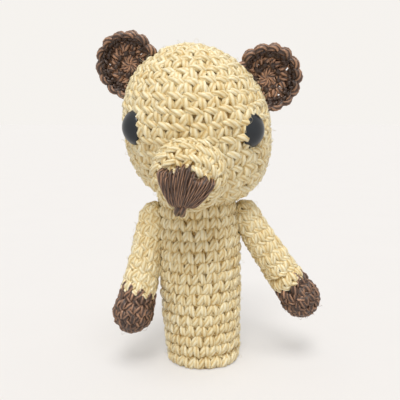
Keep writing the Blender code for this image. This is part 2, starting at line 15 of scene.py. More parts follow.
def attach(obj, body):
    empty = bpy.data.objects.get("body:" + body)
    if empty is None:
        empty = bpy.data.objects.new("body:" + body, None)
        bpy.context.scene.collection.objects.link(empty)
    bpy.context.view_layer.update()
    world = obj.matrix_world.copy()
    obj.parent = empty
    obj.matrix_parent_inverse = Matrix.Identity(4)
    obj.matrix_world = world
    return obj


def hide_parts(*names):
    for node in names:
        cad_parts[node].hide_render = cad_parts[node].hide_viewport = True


MM = 0.001

# Yarn of each crocheted piece: stitch width, round height, yarn radius, cloth thickness, and how
# much deeper a stitch's legs and bar lie than their strands below say, in yarn radii
Gauge = namedtuple("Gauge", "stitch row yarn wall leg bar")
BODY_GAUGE = Gauge(3.77 * MM, 3.15 * MM, 0.96 * MM, 2.3 * MM, 0.0, 0.55)
HEAD_GAUGE = Gauge(4.67 * MM, 4.17 * MM, 1.14 * MM, 2.6 * MM, 0.20, -0.52)
MUZZLE_GAUGE = Gauge(4.2 * MM, 3.8 * MM, 0.98 * MM, 2.2 * MM, 0.40, -0.72)
ARM_GAUGE = Gauge(3.73 * MM, 3.5 * MM, 0.94 * MM, 1.9 * MM, 0.08, -0.30)
EAR_GAUGE = Gauge(3.9 * MM, 3.6 * MM, 0.95 * MM, 2.4 * MM, 0.0, -0.4)
FEWEST_STITCHES = 6
DRIFT = 0.32  # how far each round's stitches stand beside those of the round below
SEAM_ANGLE = math.pi / 2  # the spiral's rounds begin at the back

# Unevenness of work by hand, as standard deviations: a stitch's place, rise and size as shares
# of its own, and a strand's place in stitch widths and its lift in yarn radii
ANGLE_JITTER = 0.05
DISTANCE_JITTER = 0.04
RISE_JITTER = 0.05
SIZE_JITTER = 0.05
STRAND_ACROSS_JITTER = 0.03
STRAND_LIFT_JITTER = 0.12

# Sizes of the solids that the yarn follows, with the nose and the eyes closer to the photo
BODY_HEIGHT = 50.2 * MM
BODY_RIM_RADIUS = 11.5 * MM
BODY_BELLY_RADIUS = 12.4 * MM
BODY_CHEST_RADIUS = 12.9 * MM
BODY_NECK_RADIUS = 11.8 * MM
BODY_BELLY_HEIGHT = 16.0 * MM
BODY_CHEST_HEIGHT = 38.0 * MM
BODY_LEAN = math.radians(2.2)
HEAD_RADIUS = 22.3 * MM
HEAD_UPPER = 23.6 * MM
HEAD_LOWER = 24.0 * MM
HEAD_UPPER_POWER = 2.0
HEAD_LOWER_POWER = 2.5
HEAD_TILT = math.radians(8.0)
HEAD_TURN = math.radians(5.0)
HEAD_ROLL = math.radians(1.5)
HEAD_SLANT = 0.10
NECK_SINK = 2.2 * MM
CLOSING_HOLE_RADIUS = 2.0 * MM
MUZZLE_RADIUS = 10.5 * MM
MUZZLE_LENGTH = 8.5 * MM
MUZZLE_POWER = 2.2
MUZZLE_DROP = 10.3 * MM
MUZZLE_PITCH = math.radians(11.0)
MUZZLE_SKIRT = 9.5 * MM
NOSE_HALF_WIDTH = 8.1 * MM
NOSE_TOP = 5.6 * MM
NOSE_CORNER_DROP = 3.6 * MM
NOSE_APEX = -6.2 * MM
NOSE_APEX_SHARE = 0.21
NOSE_APEX_ACROSS = -1.1 * MM
NOSE_TILT = -1.3 * MM
NOSE_SIDE_BULGE = 0.66
NOSE_NOTCH = 2.0 * MM
NOSE_NOTCH_TURN = 3.3
NOSE_STRANDS = 15
NOSE_LAYERS = 2
NOSE_LAYER_INSET = 0.09  # how much narrower each layer is than the one below
NOSE_LAYER_LIFT = 0.5 * MM
NOSE_LIFT = 0.45 * MM
NOSE_EDGE = 0.5 * MM
NOSE_RAGGED = (-1.2 * MM, 0.9 * MM)
NOSE_YARN_RADII = (0.36 * MM, 0.66 * MM)
NOSE_SEED = 21
MOUTH_LENGTH = 5.0 * MM
MOUTH_LEAN = -1.3 * MM
MOUTH_SIDES = (-0.75 * MM, 0.75 * MM)
MOUTH_YARN_RADII = (1.0 * MM, 1.0 * MM)
MOUTH_OVERLAP = 0.6 * MM
MOUTH_LIFT = 0.7 * MM
SATIN_STEPS = 12
SATIN_END = 0.1  # share of a satin strand over which it dips into the cloth
SATIN_SINK = 0.9 * MM
SATIN_JITTER = 0.06
SATIN_TWIST = 0.25
EYE_RADIUS = 5.0 * MM
EYE_DOME = 3.3 * MM
EYE_FLANGE = 0.5 * MM
EYE_AZIMUTH = math.radians(52.0)
EYE_HEIGHT = 0.5 * MM
EYE_TURN = math.radians(17.0)
EYE_SINK = 2.1 * MM
EYE_EDGE = 0.1 * MM
EYE_SEGMENTS = 48
EYE_DOME_POINTS = 20
# Where the cloth swells in front of an eye, and by what share of the head's radius
Bulge = namedtuple("Bulge", "azimuth height size")
BULGES = (
    Bulge(math.radians(42.0), 2.4 * MM, 0.067),
    Bulge(math.radians(-35.0), -1.2 * MM, 0.060),
)
BULGE_SPREAD = math.radians(10.0)
BULGE_REACH = 5.0 * MM
SHANK_RADIUS = 1.4 * MM
SHANK_LENGTH = 10.0 * MM
EAR_RADIUS = 9.8 * MM
EAR_CUP = 3.6 * MM
EAR_BACK = 0.8 * MM
EAR_TURN = math.radians(8.0)
Ear = namedtuple("Ear", "side angle standoff")
LEFT_EAR = Ear(1, math.radians(56.0), 1.9 * MM)
RIGHT_EAR = Ear(-1, math.radians(51.0), 3.8 * MM)
ARM_RADIUS = 4.9 * MM
WRIST_RADIUS = 5.7 * MM
LEFT_ARM_LENGTH = 29.9 * MM
RIGHT_ARM_LENGTH = 28.0 * MM
PAW_RADIUS = 6.5 * MM
PAW_LENGTH = 12.3 * MM
SHOULDER_DROP = 1.1 * MM
SHOULDER_BITE = 4.6 * MM
HEAD_MARGIN = 2.0 * MM  # how deep in the head a strand of the muzzle or an ear still counts
BODY_MARGIN = 0.4 * MM  # how far a sleeve may press into the body
Arm = namedtuple("Arm", "side length swing forward bend")
LEFT_ARM = Arm(1, LEFT_ARM_LENGTH, math.radians(29.5), math.radians(2.0), math.radians(9.0))
RIGHT_ARM = Arm(-1, RIGHT_ARM_LENGTH, math.radians(14.0), math.radians(47.0), math.radians(8.0))

# Strands of a stitch: (across in stitch widths, up in rounds, centre's lift and thickness in
# yarn radii)
LEFT_LEG = (
    (-0.49, 1.05, -2.6, 0.80),
    (-0.42, 0.90, -1.50, 1.04),
    (-0.34, 0.66, -1.08, 1.20),
    (-0.25, 0.36, -1.20, 1.18),
    (-0.15, 0.09, -1.66, 1.00),
    (-0.05, -0.12, -2.8, 0.75),
)
RIGHT_LEG = (
    (0.45, 1.03, -2.7, 0.80),
    (0.37, 0.88, -1.60, 1.02),
    (0.28, 0.62, -1.16, 1.18),
    (0.21, 0.32, -1.28, 1.16),
    (0.13, 0.05, -1.76, 0.98),
    (0.06, -0.14, -2.9, 0.75),
)
BAR = (
    (-0.60, 1.06, -2.5, 0.80),
    (-0.34, 1.09, -1.75, 1.00),
    (0.0, 1.02, -1.50, 1.08),
    (0.34, 0.90, -1.80, 1.00),
    (0.60, 0.76, -2.6, 0.80),
)
# The two chained strands along a rim, on its inner and its outer side
FRONT_CHAIN = (
    (-0.66, 0.02, -2.9, 0.80),
    (-0.42, 0.20, -1.7, 1.05),
    (0.0, 0.24, -1.05, 1.18),
    (0.42, 0.10, -1.7, 1.05),
    (0.66, -0.08, -2.9, 0.80),
)
BACK_CHAIN = (
    (-0.66, -0.30, -2.7, 0.80),
    (-0.42, -0.22, -1.4, 1.0),
    (0.0, -0.14, -0.75, 1.12),
    (0.42, -0.28, -1.4, 1.0),
    (0.66, -0.44, -2.7, 0.80),
)
RIM_RISE = -0.38  # in rounds
# The paw's first stitches reach up into the sleeve
SPIKE = (
    (0.02, 0.45, -1.5, 0.95),
    (0.0, 0.10, -1.0, 1.10),
    (-0.05, -0.24, -0.95, 1.10),
    (-0.10, -0.46, -1.7, 0.95),
    (-0.12, -0.60, -2.8, 0.80),
)
LEG_STEPS = 6
BAR_STEPS = 5
CHAIN_STEPS = 10
SPIKE_STEPS = 8
STITCH_FLATNESS = 0.9
CHAIN_FLATNESS = 0.95
EAR_FLATNESS = 0.95

FIBRE_RADIUS = 0.035 * MM
FIBRE_LENGTH = 2.6 * MM
FIBRE_SHARE = 0.35  # stray fibres for each stitch
FIBRE_STEPS = 6
FIBRE_CURL = 1.6  # how far its heading turns along it at most, in radians
FIBRE_ARCH = 2.6  # in radians of a sine
FIBRE_ROOT = 0.8  # in yarn radii below the surface
FIBRE_STANDOFF = (0.7, 1.9)  # in yarn radii above its root
FIBRE_TINTS = (1.0, 2.0)

# The darkest and the lightest random tone that a strand gets, before painted shade is taken off
STRAND_TINTS = (0.0, 1.0)
EAR_OUTER_TINTS = (0.7, 1.6)
EAR_INNER_TINTS = (0.9, 1.7)
EAR_RIM_TINTS = (0.3, 1.1)
PLIES = 4
POINTS_PER_PLY = 3
PLY_DEPTH = 0.30
TWIST_PER_RADIUS = 0.60  # turn of the plies, in radians for each yarn radius of length
# Painted shade on deep-lying yarn: darker where it lies deeper than this, in yarn radii, and darkest
# this much further in
SHADE_DEPTH = 1.25
SHADE_SPAN = 1.2
DEPTH_PAINTED_SHADE = 2.2
OUTLINE_STEPS = 60
BACKING_DEPTH = 1.7  # in yarn radii
BACKING_SEGMENTS = 48
# The backing is coloured darker as painted shade of the hollows behind the legs
BACKING_PAINTED_SHADE = -2.0
BACKING_UV = (1 / 6, 0.6)
PLAIN_UV = (0.1, 0.1)
PLAIN_TINT = 0.5
POLE_RADIUS = 0.004 * MM
PROBE = 0.1 * MM  # a small step outwards, for finding the normal

# Colours and finish of the yarns, and how much each cause lightens a yarn along its colours
Yarn = namedtuple("Yarn", "dark middle light roughness sheen")
# A yarn's dark colour is reached through painted shade, and its light colour partly through painted
# glints along the fibres
CREAM = Yarn((0.58, 0.37, 0.11), (0.84, 0.70, 0.40), (0.97, 0.90, 0.67), 0.32, 0.2)
BROWN = Yarn((0.030, 0.016, 0.011), (0.080, 0.045, 0.031), (0.58, 0.32, 0.19), 0.40, 0.08)
BASE_SHADE = 0.02
PLY_GROOVE_PAINTED_SHADE = 0.34
FILAMENT_TONE_AND_PAINTED_GLINT = 0.42
PATCH_SHADE = 0.22
TINT_SHADE = 0.14
YARN_STOPS = (0.30, 0.62, 0.90)
FILAMENT_SCALE = (26.0, 0.30, 1.0)
PATCH_SCALE = 260.0
PLASTIC_SCALE = 400.0
FILLING_SCALE = 900.0
EYE_BLACK = (0.006, 0.009, 0.013)
WASHER_WHITE = (0.62, 0.62, 0.60)
FILLING_GREY = (0.62, 0.60, 0.56)
FILLING_WHITE = (0.86, 0.85, 0.82)

# Camera and picture
CAMERA_DISTANCE = 174.0 * MM
CAMERA_HEIGHT = 72.8 * MM
CAMERA_ACROSS = -1.03 * MM
CAMERA_PITCH = math.radians(7.7)
PICTURE_SIDE = 400
FOCAL_PIXELS = 581
SENSOR_WIDTH = 36.0
CLIP_START = 10.0 * MM
BACKDROP = (0.919, 0.893, 0.858)
FLOOR_SEEN_SHARE = 0.42
FLOOR_DARKER = (0.770, 0.754, 0.752)
FLOOR_LIGHTER = (0.786, 0.770, 0.768)
FLOOR_HALF = 12.0
WORLD_COLOUR = (1.0, 0.985, 0.965)
WORLD_LOW = 0.52
WORLD_HIGH = 0.54
SUN_COLOUR = (1.0, 0.99, 0.97)
Sun = namedtuple("Sun", "name direction softness strength")
SUNS = (
    Sun("overhead", (0.04, -0.30, 1.0), math.radians(26.0), 1.20),
    Sun("front", (-0.06, -0.72, 1.0), math.radians(18.0), 1.10),
)


# Outlines and surfaces


def superellipse_quarter(radius, height, power, steps, downwards):
    t = np.linspace(0, math.pi / 2, steps + 1)
    across = radius * np.sin(t) ** (2 / power)
    up = height * np.abs(np.cos(t)) ** (2 / power)
    if downwards:
        across, up = across[::-1], -up[::-1]
    return np.stack([across, up], 1)


def spline(knots, steps):
    """A smooth curve through the knots, in any number of dimensions, sampled evenly."""
    knots = np.array(knots, float)
    padded = np.concatenate([[2 * knots[0] - knots[1]], knots, [2 * knots[-1] - knots[-2]]])
    t = np.linspace(0, len(knots) - 1, steps + 1)
    i = np.minimum(t.astype(int), len(knots) - 2)
    t = (t - i)[:, None]
    p, q, r, s = (padded[i + k] for k in range(4))
    return 0.5 * (
        2 * q + (r - p) * t + (2 * p - 5 * q + 4 * r - s) * t**2 + (3 * q - p - 3 * r + s) * t**3
    )


def unit(vectors):
    return vectors / np.linalg.norm(vectors, axis=-1)[..., None]


class Outline:
    """A meridian from the top of a piece down to its end, read at any distance along it."""

    def __init__(self, points):
        self.points = np.array(points, float)
        runs = np.linalg.norm(np.diff(self.points, axis=0), axis=1)
        self.reach = np.concatenate([[0.0], np.cumsum(runs)])
        self.length = self.reach[-1]
        along = np.gradient(self.points, self.reach, axis=0)
        self.along = unit(along)

    def at(self, distance):
        """Radius, height and outward normal. Past an end the outline goes on straight."""
        inside = np.clip(distance, 0, self.length)
        extra = distance - inside
        r, h = (np.interp(inside, self.reach, self.points[:, i]) for i in (0, 1))
        ar, ah = (np.interp(inside, self.reach, self.along[:, i]) for i in (0, 1))
        return r + extra * ar, h + extra * ah, -ah, ar


class Skin:
    """A turned surface in its own frame, carried into the row frame by its bend."""

    def __init__(self, outline, bend):
        self.outline = outline
        self.bend = bend

    def point(self, angle, distance, lift):
        radius, height, out, up = self.outline.at(distance)
        radius = radius + lift * out
        height = height + lift * up
        return self.bend(
            np.stack([radius * np.cos(angle), radius * np.sin(angle), height], -1)
        )


def body_outline():
    knots = [
        (BODY_NECK_RADIUS, BODY_HEIGHT + BODY_GAUGE.row / 2),
        (BODY_CHEST_RADIUS, BODY_CHEST_HEIGHT),
        (BODY_BELLY_RADIUS, BODY_BELLY_HEIGHT),
        (BODY_RIM_RADIUS, BODY_GAUGE.row / 2),
    ]
    return Outline([*spline(knots, OUTLINE_STEPS), (BODY_RIM_RADIUS, 0.0)])


def head_outline():
    upper = superellipse_quarter(HEAD_RADIUS, HEAD_UPPER, HEAD_UPPER_POWER, OUTLINE_STEPS, False)
    lower = superellipse_quarter(HEAD_RADIUS, HEAD_LOWER, HEAD_LOWER_POWER, OUTLINE_STEPS, True)
    lower = lower[lower[:, 0] >= CLOSING_HOLE_RADIUS]
    return Outline([*upper, *lower[1:]])


def muzzle_outline():
    dome = superellipse_quarter(MUZZLE_RADIUS, MUZZLE_LENGTH, MUZZLE_POWER, OUTLINE_STEPS, False)
    return Outline([*dome, (MUZZLE_RADIUS, -MUZZLE_SKIRT)])


def ear_outline():
    return Outline(superellipse_quarter(EAR_RADIUS, EAR_CUP, 2.0, OUTLINE_STEPS, False))


def arm_outline(arm):
    dome = superellipse_quarter(ARM_RADIUS, ARM_RADIUS, 2.0, OUTLINE_STEPS, False)
    return Outline([*(dome - (0, ARM_RADIUS)), (WRIST_RADIUS, -arm.length)])


def paw_outline(arm):
    tip = superellipse_quarter(PAW_RADIUS, PAW_RADIUS, 2.0, OUTLINE_STEPS, True)
    tip = tip - (0, arm.length + PAW_LENGTH - PAW_RADIUS)
    return Outline([(WRIST_RADIUS, -arm.length), *tip])


# Places of the pieces


def matrix_bend(matrix):
    turn = np.array(matrix.to_3x3())
    shift = np.array(matrix.translation)
    return lambda points: points @ turn.T + shift


def puppet_place():
    """The middle of the body's bottom rim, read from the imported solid."""
    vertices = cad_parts["body"].data.vertices
    points = np.array([v.co for v in vertices])
    rim = points[points[:, 2] < points[:, 2].min() + 0.02 * MM]
    middle = (rim.min(0) + rim.max(0)) / 2
    return Vector(middle)


def lean(points):
    shift = points[..., 2:] * math.tan(BODY_LEAN)
    return points - shift * np.array([1.0, 0, 0]) + np.array(PUPPET)


def head_matrix():
    height = BODY_HEIGHT + HEAD_LOWER - NECK_SINK
    neck = Vector((-BODY_HEIGHT * math.tan(BODY_LEAN), 0.0, height))
    return (
        Matrix.Translation(PUPPET + neck)
        @ Matrix.Rotation(-HEAD_TURN, 4, "Z")
        @ Matrix.Rotation(HEAD_ROLL, 4, "Y")
        @ Matrix.Rotation(HEAD_TILT, 4, "X")
    )


def slanted(points):
    """Each round of the head sits a little beside the one below it."""
    return points - points[..., 2:] * np.array([HEAD_SLANT, 0, 0])


def head_radius_at(height):
    half = np.where(height > 0, HEAD_UPPER, HEAD_LOWER)
    power = np.where(height > 0, HEAD_UPPER_POWER, HEAD_LOWER_POWER)
    share = np.minimum(np.abs(height) / half, 1.0)
    return HEAD_RADIUS * (1 - share**power) ** (1 / power)


def eye_matrix(side):
    radius = float(head_radius_at(EYE_HEIGHT)) - EYE_SINK
    azimuth = side * EYE_AZIMUTH
    across = radius * math.sin(azimuth) - EYE_HEIGHT * HEAD_SLANT
    seat = Vector((across, -radius * math.cos(azimuth), EYE_HEIGHT))
    gaze = side * (EYE_AZIMUTH + EYE_TURN)
    outwards = Vector((math.sin(gaze), -math.cos(gaze), 0.0))
    return HEAD @ Matrix.Translation(seat) @ outwards.to_track_quat("Z", "Y").to_matrix().to_4x4()


def muzzle_matrix():
    base = Vector((0.0, -float(head_radius_at(-MUZZLE_DROP)), -MUZZLE_DROP))
    return HEAD @ Matrix.Translation(base) @ Matrix.Rotation(math.pi / 2 + MUZZLE_PITCH, 4, "X")


def ear_matrix(ear):
    across, up = math.sin(ear.angle), math.cos(ear.angle)
    reach = ear.standoff + 1 / math.hypot(across / HEAD_RADIUS, up / HEAD_UPPER)
    centre = Vector((ear.side * across * reach, EAR_BACK, up * reach))
    return (
        HEAD
        @ Matrix.Translation(centre)
        @ Matrix.Rotation(ear.side * EAR_TURN, 4, "Z")
        @ Matrix.Rotation(-math.pi / 2, 4, "X")
    )


def arm_bend(arm):
    """Carries a straight arm, which hangs along -Z, onto its arc from the shoulder."""
    top = BODY_HEIGHT - SHOULDER_DROP
    reach = BODY_NECK_RADIUS + ARM_RADIUS - SHOULDER_BITE
    start = np.array(PUPPET) + (arm.side * reach - top * math.tan(BODY_LEAN), 0.0, top)
    heading = np.array([arm.side * math.cos(arm.forward), -math.sin(arm.forward), 0.0])
    upwards = np.array([0.0, 0.0, 1.0])
    sideways = np.cross(heading, upwards)
    rate = arm.bend / (arm.length + PAW_LENGTH)

    def bend(points):
        x, y, z = (points[..., i : i + 1] for i in range(3))
        angle = arm.swing - rate * z
        across = (math.cos(arm.swing) - np.cos(angle)) / rate
        down = (np.sin(angle) - math.sin(arm.swing)) / rate
        outwards = heading * np.cos(angle) + upwards * np.sin(angle)
        return start + heading * across - upwards * down + outwards * x + sideways * y

    return bend


# Mesh making


class Builder:
    """Collects grids and tubes, with a UV map and each vertex's random tone less painted shade, into
    one mesh.
    """

    def __init__(self):
        self.vertices = []
        self.tints = []
        self.loops = []
        self.sizes = []
        self.uvs = []
        self.count = 0

    def add(self, vertices, faces, uvs, tints):
        self.vertices.append(vertices.reshape(-1, 3))
        self.tints.append(np.broadcast_to(tints, len(self.vertices[-1])))
        self.loops.append((faces + self.count).reshape(-1))
        self.sizes.append(np.full(len(faces), faces.shape[1]))
        self.uvs.append(uvs.reshape(-1, 2))
        self.count += len(self.vertices[-1])

    def more_faces(self, faces, offset):
        """Faces on vertices that the last call added."""
        self.loops.append((faces + offset).reshape(-1))
        self.sizes.append(np.full(len(faces), faces.shape[1]))
        self.uvs.append(np.zeros((faces.size, 2)))

    def grid(self, points, uv, tone_and_painted_shade):
        """A sheet of rows by columns whose columns close into rings."""
        rows, columns = points.shape[:2]
        row, column = np.meshgrid(np.arange(rows - 1), np.arange(columns), indexing="ij")
        after = (column + 1) % columns
        faces = np.stack(
            [row * columns + column, row * columns + after, (row + 1) * columns + after,
             (row + 1) * columns + column], -1
        ).reshape(-1, 4)
        across = np.stack([column, column + 1, column + 1, column], -1).reshape(-1, 4)
        along = np.stack([row, row, row + 1, row + 1], -1).reshape(-1, 4)
        uvs = np.stack([across * uv[0], along * uv[1]], -1)
        self.add(points, faces, uvs, tone_and_painted_shade)

    def tubes(
        self, paths, up, radii, rng, painted_depth_shade=0.0, flat=1.0, twist=TWIST_PER_RADIUS, tints=STRAND_TINTS
    ):
        """Plied yarn along many paths of the same number of points, with closed ends."""
        strands, steps = paths.shape[:2]
        around = PLIES * POINTS_PER_PLY
        along = unit(np.gradient(paths, axis=1))
        side = unit(np.cross(up, along))
        over = np.cross(along, side)
        runs = np.linalg.norm(np.diff(paths, axis=1), axis=2)
        reach = np.concatenate([np.zeros((strands, 1)), np.cumsum(runs, 1)], 1)
        radii = np.broadcast_to(radii, (strands, steps))
        typical = radii.mean()
        start = rng.uniform(0, math.tau, (strands, 1, 1))
        ply = np.arange(around) / around * math.tau
        angle = ply + start + twist * reach[..., None] / typical
        lobes = 1 - PLY_DEPTH * (1 - np.abs(np.cos(PLIES / 2 * ply)))
        size = (radii[..., None] * lobes)[..., None]
        vertices = (
            paths[:, :, None, :]
            + size * np.cos(angle)[..., None] * side[:, :, None, :]
            + size * flat * np.sin(angle)[..., None] * over[:, :, None, :]
        )
        strand, step, spoke = np.meshgrid(
            np.arange(strands), np.arange(steps - 1), np.arange(around), indexing="ij"
        )
        first = (strand * steps + step) * around
        after = (spoke + 1) % around
        faces = np.stack(
            [first + spoke, first + after, first + around + after, first + around + spoke], -1
        ).reshape(-1, 4)
        u = np.stack([spoke, spoke + 1, spoke + 1, spoke], -1) / around
        here = (reach / typical)[strand, step]
        there = (reach / typical)[strand, step + 1]
        v = np.stack([here, here, there, there], -1)
        uvs = np.stack([u, v + start[strand, 0, 0][..., None]], -1)
        offset = self.count
        # Deep-lying yarn gets painted shade, taken off its random tone
        shade = DEPTH_PAINTED_SHADE * np.broadcast_to(painted_depth_shade, (strands, steps))
        tone_and_painted_shade = rng.uniform(*tints, (strands, 1)) - shade
        self.add(vertices, faces, uvs, np.repeat(tone_and_painted_shade, around))
        base = np.arange(strands)[:, None] * steps * around
        ring = np.arange(around)
        self.more_faces(base + ring[::-1], offset)
        self.more_faces(base + (steps - 1) * around + ring, offset)

    def finish(self, name, material):
        mesh = bpy.data.meshes.new(name)
        vertices = np.concatenate(self.vertices)
        loops = np.concatenate(self.loops)
        sizes = np.concatenate(self.sizes)
        mesh.vertices.add(len(vertices))
        mesh.vertices.foreach_set("co", vertices.astype(np.float32).reshape(-1))
        mesh.loops.add(len(loops))
        mesh.loops.foreach_set("vertex_index", loops.astype(np.int32))
        mesh.polygons.add(len(sizes))
        starts = np.concatenate([[0], np.cumsum(sizes)[:-1]])
        mesh.polygons.foreach_set("loop_start", starts.astype(np.int32))
        mesh.polygons.foreach_set("loop_total", sizes.astype(np.int32))
        mesh.polygons.foreach_set("use_smooth", np.ones(len(sizes), bool))
        uv = mesh.uv_layers.new(name="yarn")
        uv.data.foreach_set("uv", np.concatenate(self.uvs).astype(np.float32).reshape(-1))
        tone_and_painted_shade = mesh.attributes.new("tone_and_painted_shade", "FLOAT", "POINT")
        tone_and_painted_shade.data.foreach_set("value", np.concatenate(self.tints).astype(np.float32))
        mesh.update()
        mesh.validate()
        mesh.materials.append(material)
        made = bpy.data.objects.new(name, mesh)
        bpy.context.scene.collection.objects.link(made)
        return made


# Stitches


def rounds_of(outline, gauge):
    """(start, height, stitch count) of each round from the top of the piece."""
    rows = max(1, round(outline.length / gauge.row))
    step = outline.length / rows
    rounds = []
    for k in range(rows):
        around = math.tau * float(outline.at((k + 0.5) * step)[0])
        rounds.append((k * step, step, max(FEWEST_STITCHES, round(around / gauge.stitch))))
    return rounds


def stitch_layout(outline, gauge, rng, upwards, spiral):
    """For every stitch: angle, angular width, base distance, signed rise, yarn size and slope."""
    columns = []
    rounds = rounds_of(outline, gauge)
    drift = DRIFT * math.tau * (-1 if upwards else 1)
    begins = [SEAM_ANGLE + drift * k / count for k, (_, _, count) in enumerate(rounds)]
    for k, (start, step, count) in enumerate(rounds):
        order = np.arange(count)
        fade = min(1.0, (outline.length - start - step) / step) if spiral else 0.0
        # A spiral round ends where the round above it begins
        turn = math.tau + (begins[max(k - 1, 0)] - begins[k]) * fade
        angle = begins[k] + order / count * turn
        width = np.full(count, turn / count)
        middle = float(outline.at(start + step / 2)[0])
        room = math.tau * middle / count / gauge.stitch
        base = start + step if upwards else start
        rise = -step if upwards else step
        share = order / count - 0.5
        distance = base - share * step * fade
        columns.append(
            np.stack(
                [
                    angle + rng.normal(0, ANGLE_JITTER, count) * width,
                    width,
                    distance + rng.normal(0, DISTANCE_JITTER, count) * step,
                    np.full(count, rise) * rng.normal(1, RISE_JITTER, count),
                    np.full(count, min(1.0, room) ** 0.5) * rng.normal(1, SIZE_JITTER, count),
                    -step * fade / math.tau * np.ones(count),
                ],
                1,
            )
        )
    return np.concatenate(columns)


def stitch(gauge):
    """The strands of one stitch and how many steps each takes."""
    parts = (
        (LEFT_LEG, LEG_STEPS, gauge.leg),
        (RIGHT_LEG, LEG_STEPS, gauge.leg),
        (BAR, BAR_STEPS, gauge.bar),
    )
    return [(np.array(knots) - (0.0, 0.0, sink, 0.0), steps) for knots, steps, sink in parts]


def strands_on(skin, layout, template, steps, gauge, rng, inwards=False):
    """Paths, normals, radii and share of painted shade, from how deep it lies, of one template strand
    at every stitch.
    """
    knots = spline(template, steps)
    x, y, z, thick = (knots[:, i][None, :] for i in range(4))
    angle, width, base, rise, size, slope = (layout[:, i : i + 1] for i in range(6))
    x = x + rng.normal(0, STRAND_ACROSS_JITTER, (len(layout), 1))
    z = z + rng.normal(0, STRAND_LIFT_JITTER, (len(layout), 1))
    theta = angle + x * width
    distance = base + y * rise + slope * x * width
    lift = z * gauge.yarn * size
    if inwards:
        lift = -gauge.wall - lift
    paths = skin.point(theta, distance, lift)
    probe = -PROBE if inwards else PROBE
    up = unit(skin.point(theta, distance, lift + probe) - paths)
    painted_depth_shade = np.clip((-SHADE_DEPTH - z) / SHADE_SPAN, 0, 1)
    return paths, up, thick * gauge.yarn * size, painted_depth_shade


def backing(builder, skin, gauge, closed_start):
    """The cloth behind the legs, coloured darker as painted shade: an outer and an inner sheet joined
    at the open ends.
    """
    steps = 2 * len(rounds_of(skin.outline, gauge))
    distance = np.linspace(0, skin.outline.length, steps + 1)[:, None]
    theta = np.linspace(0, math.tau, BACKING_SEGMENTS, endpoint=False)[None, :]
    outer = skin.point(theta, distance + 0 * theta, -BACKING_DEPTH * gauge.yarn)
    inner = skin.point(theta, distance + 0 * theta, -gauge.wall)
    loop = np.concatenate([outer, inner[::-1]])
    if not closed_start:
        loop = np.concatenate([loop, outer[:1]])
    builder.grid(loop, BACKING_UV, BACKING_PAINTED_SHADE)


def crochet(
    name, skin, gauge, material, seed,
    upwards=True, rimmed=False, spiked=False, keep=None, push=None,
):
    """One crocheted piece of yarn. keep tells which strands show, and push clears a neighbour."""
    rng = np.random.default_rng(seed)
    builder = Builder()
    backing(builder, skin, gauge, not rimmed)
    layout = stitch_layout(skin.outline, gauge, rng, upwards, True)
    for template, steps in stitch(gauge):
        paths, up, radii, painted_depth_shade = strands_on(skin, layout, template, steps, gauge, rng)
        if keep is not None:
            chosen = keep(paths)
            paths, up, radii, painted_depth_shade = paths[chosen], up[chosen], radii[chosen], painted_depth_shade[chosen]
        if push is not None:
            paths = push(paths)
        builder.tubes(paths, up, radii, rng, painted_depth_shade, STITCH_FLATNESS)
    if rimmed:
        # The last round is the one without a slope
        rim = layout[layout[:, 5] == 0.0].copy()
        rim[:, 2] = skin.outline.length
        rim[:, 3] = gauge.row
        for template in (FRONT_CHAIN, BACK_CHAIN):
            lowered = np.array(template) + (0.0, RIM_RISE, 0.0, 0.0)
            paths, up, radii, painted_depth_shade = strands_on(skin, rim, lowered, CHAIN_STEPS, gauge, rng)
            builder.tubes(paths, up, radii, rng, painted_depth_shade, CHAIN_FLATNESS)
    if spiked:
        first = layout[: rounds_of(skin.outline, gauge)[0][2]]
        paths, up, radii, painted_depth_shade = strands_on(skin, first, SPIKE, SPIKE_STEPS, gauge, rng)
        builder.tubes(paths, up, radii, rng, painted_depth_shade, STITCH_FLATNESS)
    stray_fibres(builder, skin, layout, gauge, rng)
    # Nothing reaches below what the puppet stands on
    for vertices in builder.vertices:
        vertices[:, 2] = np.maximum(vertices[:, 2], PUPPET.z)
    return builder.finish(name, material)


def stray_fibres(builder, skin, layout, gauge, rng):
    """Thin single fibres that stand off the yarn here and there."""
    chosen = layout[rng.random(len(layout)) < FIBRE_SHARE]
    count = len(chosen)
    t = np.linspace(0, 1, FIBRE_STEPS + 1)[None, :]
    angle = chosen[:, :1] + rng.uniform(-0.5, 0.5, (count, 1)) * chosen[:, 1:2]
    distance = chosen[:, 2:3] + rng.uniform(0.2, 0.8, (count, 1)) * chosen[:, 3:4]
    curl = rng.uniform(0, math.tau, (count, 1))
    heading = curl + rng.uniform(-FIBRE_CURL, FIBRE_CURL, (count, 1)) * t
    run = FIBRE_LENGTH * rng.uniform(0.4, 1.0, (count, 1)) * t
    radius = np.maximum(skin.outline.at(distance)[0], gauge.stitch)
    theta = angle + run * np.cos(heading) / radius
    along = np.clip(distance + run * np.sin(heading), 0, skin.outline.length)
    rise = rng.uniform(*FIBRE_STANDOFF, (count, 1)) * gauge.yarn
    lift = -FIBRE_ROOT * gauge.yarn + rise * np.sin(FIBRE_ARCH * t)
    paths = skin.point(theta, along, lift)
    up = unit(skin.point(theta, along, lift + PROBE) - paths)
    builder.tubes(paths, up, np.full((count, 1), FIBRE_RADIUS), rng, tints=FIBRE_TINTS)


def outside_head(margin):
    """Picks the strands that are not wholly inside the head's surface, less a margin."""
    back = np.array(HEAD.inverted())

    def keep(paths):
        local = paths @ back[:3, :3].T + back[:3, 3]
        radius = np.hypot(local[..., 0] + local[..., 2] * HEAD_SLANT, local[..., 1])
        return (radius > head_radius_at(local[..., 2]) - margin).any(axis=1)

    return keep


